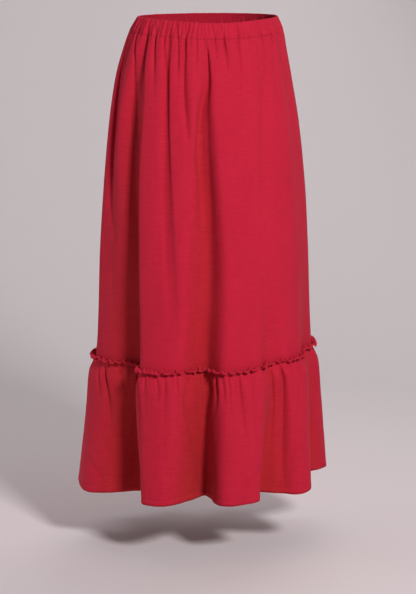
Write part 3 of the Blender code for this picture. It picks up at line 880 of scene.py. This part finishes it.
# where the hem hangs lower, or higher where it is negative: turn, half width in degrees, millimetres
hemSags = (
    (188, 6, 3), (204, 9, -4), (294, 5, -2.5), (312, 8, 9),
    (22, 8, 4), (52, 9, -3), (110, 9, 4), (140, 7, -3),
)
tierTucksBehind = [
    tuck(5, 1, 6, 70), tuck(14, 0, 7.8, 110), tuck(24, -2, 6, 50), tuck(33, 0, 6.8, 80),
    tuck(44, 2, 8.4, 130), tuck(54, 0, 5.8, 50), tuck(63, -1, 7.2, 90), tuck(73, 0, 6.2, 60),
    tuck(82, 2, 8.2, 120), tuck(93, 0, 6, 60), tuck(103, -2, 7.4, 100), tuck(112, 0, 6.2, 50),
    tuck(122, 1, 8, 90), tuck(132, 0, 5.8, 60), tuck(143, -1, 8.2, 130), tuck(153, 0, 6.2, 60),
    tuck(164, 1, 7.2, 80), tuck(174, 0, 6, 60),
]
fineTierTucks = smallTucks("front", 63, 54, (0.6, 3.0), (8, 30))
fineTierTucks += smallTucks("back", 64, 54, (0.8, 3.4), (10, 40))
for half, seed in (("front", 33), ("back", 34)):
    tierCreases += scatterCreases(half, seed, 26, (664, 840), (50, 130), (3, 8), (0.4, 1.1), 2.5)


def hemSagAt(turns):
    sag = np.zeros_like(turns)
    for turn, width, deep in hemSags:
        sag += deep / 1000 * np.exp(-((awayFrom(turns, turn) / width) ** 2))
    return sag


def sewTier(half):
    edges, strengths = uneven(tier["frillWaves"], tier["seeds"][half], 0.5)
    steps = np.arange(tier["frillWaves"] * tier["columnsPerWave"] + 1) / tier["columnsPerWave"]
    shares = np.interp(steps, np.arange(tier["frillWaves"] + 1), edges)
    headTurns = spread(half, panels["spreadDrop"], shares)
    footTurns = spread(half, tier["spreadDrop"], shares)
    chance = random.Random(tier["seeds"][half] + 70)
    size = perWave(strengths, steps)
    swing = perWave([chance.uniform(-1.0, 1.0) for _ in strengths], steps)
    roll = perWave([chance.uniform(-0.45, 0.65) for _ in strengths], steps)
    tall = perWave([chance.uniform(0.82, 1.06) for _ in strengths], steps)
    reach = perWave([chance.uniform(0.008, 0.035) for _ in strengths], steps)
    around = 2 * math.pi * steps
    phase = around + swing
    minor = around * 1.63 + 2 * swing
    seam, hem = skirt["seamDrop"], skirt["hemDrop"]
    laid = skirt["solidWall"] + skirt["clothGap"]
    across = shares * tier["flat"][0]
    rows, places, thickness = [], [], []

    def addRow(spot, height, travel, thick, hollow):
        rows.append(np.column_stack([spot, height]))
        # the third value is the painted shade mask
        places.append(np.column_stack([across, np.full_like(across, travel), paintedShadeOf(hollow)]))
        thickness.append(thick)

    # the frill stands on the seam and rolls over outwards, more on each wave's crest than between them
    place, facing = sectionAt(seam, headTurns)
    side = np.stack([-facing[:, 1], facing[:, 0]], axis=-1)
    # how deep the folds press in behind the frill, which sets its painted shade
    behind = foldHollow(seam, headTurns)
    for rise in np.linspace(1.0, 0.0, tier["headingRows"]):
        bend = tier["frillRoll"] + roll + tier["frillRollWave"] * size * np.cos(phase)
        bend = np.maximum(bend + 0.25 * np.cos(minor), 0.15)
        radius = tier["frillHeight"] * tall / bend
        out = radius * (1 - np.cos(bend * rise))
        up = radius * np.sin(bend * rise)
        slip = tier["frillSide"] * rise**1.3 * size * np.sin(phase)
        slip += tier["frillRipple"] * rise**1.5 * np.sin(minor)
        pinch = tier["seamPinch"] * (1 - rise) ** 4
        spot = place + facing * (laid - pinch + out + 0.0002 * rise)[:, None] + side * slip[:, None]
        travel = seam - tier["frillHeight"] * rise
        addRow(spot, hang(place, seam) + up, travel, skirt["clothThickness"], behind)

    fromSide = ease(0.0, 0.03, np.minimum(shares, 1 - shares))
    ripple = (np.abs(np.cos(phase / 2)) ** 0.6 * size - 0.45) * fromSide
    hemWave = tier["hemWave"] * (np.sin(around / 4.3 + swing) + 0.8 * np.sin(around / 7.9)) * fromSide
    levels = np.linspace(0, 1, tier["rows"])
    drops = seam + (hem - seam) * (0.42 * levels + 0.58 * levels**1.8)
    hemRows = hem - tier["hemTurn"] * np.array([1.12, 1.0, 0.88])
    drops = np.sort(np.concatenate([drops[1:], hemRows]))
    for drop in drops:
        below = drop - seam
        mix = float(ease(0.0, 0.075, below))
        turns = headTurns * (1 - mix) + footTurns * mix
        sag = hemSagAt(turns)
        place, facing = sectionAt(drop, turns)
        puff = tier["puff"] * (1 - math.exp(-((below / tier["puffWithin"]) ** 1.2)))
        outward = laid + puff - tier["seamPinch"] * (1 - ease(0.0, 0.003, below))
        pressed = tuckDepth(tierTucksBehind, turns, below, *tier["tuckShape"])
        pressed += tuckDepth(fineTierTucks, turns, below, *tier["fineTuckShape"])
        pressed += creaseDepth(tierCreases, turns, drop, metresPerDegreeOf(place, turns))
        pressed *= min(1.0, (puff + 0.0004) / 0.0040)
        outward = outward - pressed
        outward += tier["rippleDepth"] * ripple * np.exp(-below / reach) * ease(0.0, 0.006, below)
        turned = ease(hem - 1.06 * tier["hemTurn"], hem - 0.94 * tier["hemTurn"], drop)
        line = math.exp(-(((drop - hem + tier["hemTurn"]) / 0.0008) ** 2))
        outward += tier["hemExtra"] * 0.5 * turned - 0.0003 * line + hemWave * ease(0.78, hem, drop)
        spot = place + facing * outward[:, None]
        hollow = foldHollow(drop, turns) + np.maximum(pressed, 0.0)
        height = hang(place, drop) - sag * ease(0.74, hem, drop)
        addRow(spot, height, drop, skirt["clothThickness"] + tier["hemExtra"] * turned, hollow)

    grid = np.array(rows)
    piece = clothShell(half + "Tier", grid, np.array(thickness), np.array(places), tierCloth)
    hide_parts(half + "_tier")
    frillEdge = threadTube(half + "FrillEdge", grid[0], tier["edgeThread"], 6, redThread)
    normals = gridNormals(grid)
    seamRow = tier["headingRows"]
    seamLine = stitchRun(
        half + "SeamStitches", grid[seamRow], normals[seamRow],
        {"pitch": 0.0042, "length": 0.0030, "radius": 0.00030, "seed": 51}, redThread,
    )
    hemRow = len(rows) - 1 - int(np.sum(drops > hem - tier["hemTurn"] + 1e-6))
    hemLine = stitchRun(
        half + "HemStitches", grid[hemRow], normals[hemRow],
        {"pitch": 0.0036, "length": 0.0027, "radius": 0.00028, "seed": 52}, redThread,
    )


for half in halves:
    sewTier(half)
print("tier and frill sewn")


# The casing's stitching, just above its foot
def sewWaistLine():
    drop = skirt["casingHeight"] / 2 - casing["stitchAbove"]
    ring = np.append(casingTurns, casingTurns[0] + 360)
    place, facing = sectionAt(drop, ring)
    spot = place + facing * (np.append(casingRelief, casingRelief[0]) + 0.0001)[:, None]
    path = np.column_stack([spot, hang(place, drop)])
    outward = np.column_stack([facing, np.zeros(len(facing))])
    sewing = {"pitch": 0.0040, "length": 0.0029, "radius": 0.00028, "seed": 50}
    line = stitchRun("casingStitches", path, outward, sewing, redThread)
    return line


waistLine = sewWaistLine()
print("stitches sewn")


# The studio
studio = {
    "backdropColour": (0.57, 0.520, 0.532, 1.0),
    # a painted pool of light on the floor below the skirt, and how far from the waist it fades out
    "paintedPoolColour": (0.680, 0.608, 0.620, 1.0),
    "paintedPoolWithin": (1.05, 1.75),
    "halfWidth": 7.0,
    "wallBehind": 3.4,
    "wallBend": 1.6,
    "wallHeight": 3.2,
    "worldColour": (0.96, 0.90, 0.92, 1.0),
    "worldStrength": 0.125,
}

# each softbox: where it hangs, where it points, its power in watts and its width
softboxes = {
    "key": {"place": (0.66, -2.98, 1.30), "aim": (0.0, 0.0, -0.40), "power": 109, "size": 0.6},
    "left": {"place": (-3.0, 0.85, -0.3), "aim": (0.0, 0.0, -0.50), "power": 29, "size": 1.1},
    "rear": {"place": (1.6, 2.3, 1.3), "aim": (0.0, 0.0, -0.45), "power": 32, "size": 2.4},
    "wall": {"place": (0.0, 1.5, 2.4), "aim": (0.0, 3.4, 0.2), "power": 35, "size": 2.4},
}


def buildStudio():
    floor = -skirt["hemDrop"] - skirt["floorBelowHem"]
    half, depth = studio["halfWidth"], studio["wallBehind"]
    bend, wall = studio["wallBend"], studio["wallHeight"]
    profile = [(-half, 0.0), (depth - bend, 0.0)]
    for k in range(1, 13):
        angle = math.pi / 2 * k / 12
        profile.append((depth - bend + bend * math.sin(angle), bend * (1 - math.cos(angle))))
    profile.append((depth, wall + bend))
    points, faces = [], []
    for y, z in profile:
        points += [(-half, y, floor + z), (half, y, floor + z)]
    for k in range(len(profile) - 1):
        faces.append((2 * k, 2 * k + 1, 2 * k + 3, 2 * k + 2))
    mesh = bpy.data.meshes.new("backdrop")
    mesh.from_pydata(points, [], faces)
    mesh.shade_smooth()
    backdrop = bpy.data.objects.new("backdrop", mesh)
    bpy.context.scene.collection.objects.link(backdrop)
    paper = bpy.data.materials.new("backdropPaper")
    paper.use_nodes = True
    nodes, links = paper.node_tree.nodes, paper.node_tree.links
    shader = nodes["Principled BSDF"]
    shader.inputs["Roughness"].default_value = 0.9
    shader.inputs["Specular IOR Level"].default_value = 0.1
    noise = nodes.new("ShaderNodeTexNoise")
    noise.inputs["Scale"].default_value = 1.1
    dimmer = tuple(0.97 * c for c in studio["backdropColour"][:3]) + (1.0,)
    mottled = mixNode(paper.node_tree, noise.outputs["Fac"], studio["backdropColour"], dimmer)
    # a painted pool of light: the paper is painted a little lighter below the skirt
    place = nodes.new("ShaderNodeNewGeometry")
    away = nodes.new("ShaderNodeVectorMath")
    away.operation = "LENGTH"
    links.new(place.outputs["Position"], away.inputs["Vector"])
    paintedPool = nodes.new("ShaderNodeMapRange")
    for name, distance in zip(("From Min", "From Max"), studio["paintedPoolWithin"]):
        paintedPool.inputs[name].default_value = distance
    links.new(away.outputs["Value"], paintedPool.inputs["Value"])
    pooledColour = mixNode(paper.node_tree, paintedPool.outputs["Result"], studio["paintedPoolColour"], mottled)
    links.new(pooledColour, shader.inputs["Base Color"])
    # from behind, the paper is clear, so the back can be looked at as well
    clear = mathsNode(paper.node_tree, "SUBTRACT", 1.0, place.outputs["Backfacing"])
    links.new(clear, shader.inputs["Alpha"])
    mesh.materials.append(paper)

    world = bpy.data.worlds.new("studioAir")
    world.use_nodes = True
    air = world.node_tree.nodes["Background"]
    air.inputs["Color"].default_value = studio["worldColour"]
    air.inputs["Strength"].default_value = studio["worldStrength"]
    bpy.context.scene.world = world
    for name, box in softboxes.items():
        lamp = bpy.data.lights.new(name + "Softbox", "AREA")
        lamp.energy = box["power"]
        lamp.size = box["size"]
        softbox = bpy.data.objects.new(name + "Softbox", lamp)
        softbox.location = box["place"]
        aim = Vector(box["aim"]) - softbox.location
        softbox.rotation_euler = aim.to_track_quat("-Z", "Y").to_euler()
        bpy.context.scene.collection.objects.link(softbox)


camera = {
    "azimuth": -13.0,
    "distance": 4.5,
    "height": 0.28,
    "pitch": 10.278,
    "lens": 140.66,
}


def placeCamera():
    data = bpy.data.cameras.new("photoCamera")
    data.lens = camera["lens"]
    data.sensor_width = 36.0
    data.clip_end = 40.0
    eye = bpy.data.objects.new("photoCamera", data)
    azimuth = math.radians(camera["azimuth"])
    eye.location = (
        math.sin(azimuth) * camera["distance"],
        -math.cos(azimuth) * camera["distance"],
        camera["height"],
    )
    eye.rotation_euler = (math.radians(90 - camera["pitch"]), 0.0, azimuth)
    bpy.context.scene.collection.objects.link(eye)
    bpy.context.scene.camera = eye


buildStudio()
placeCamera()
bpy.context.scene.view_settings.view_transform = "Standard"
print("studio and camera placed")
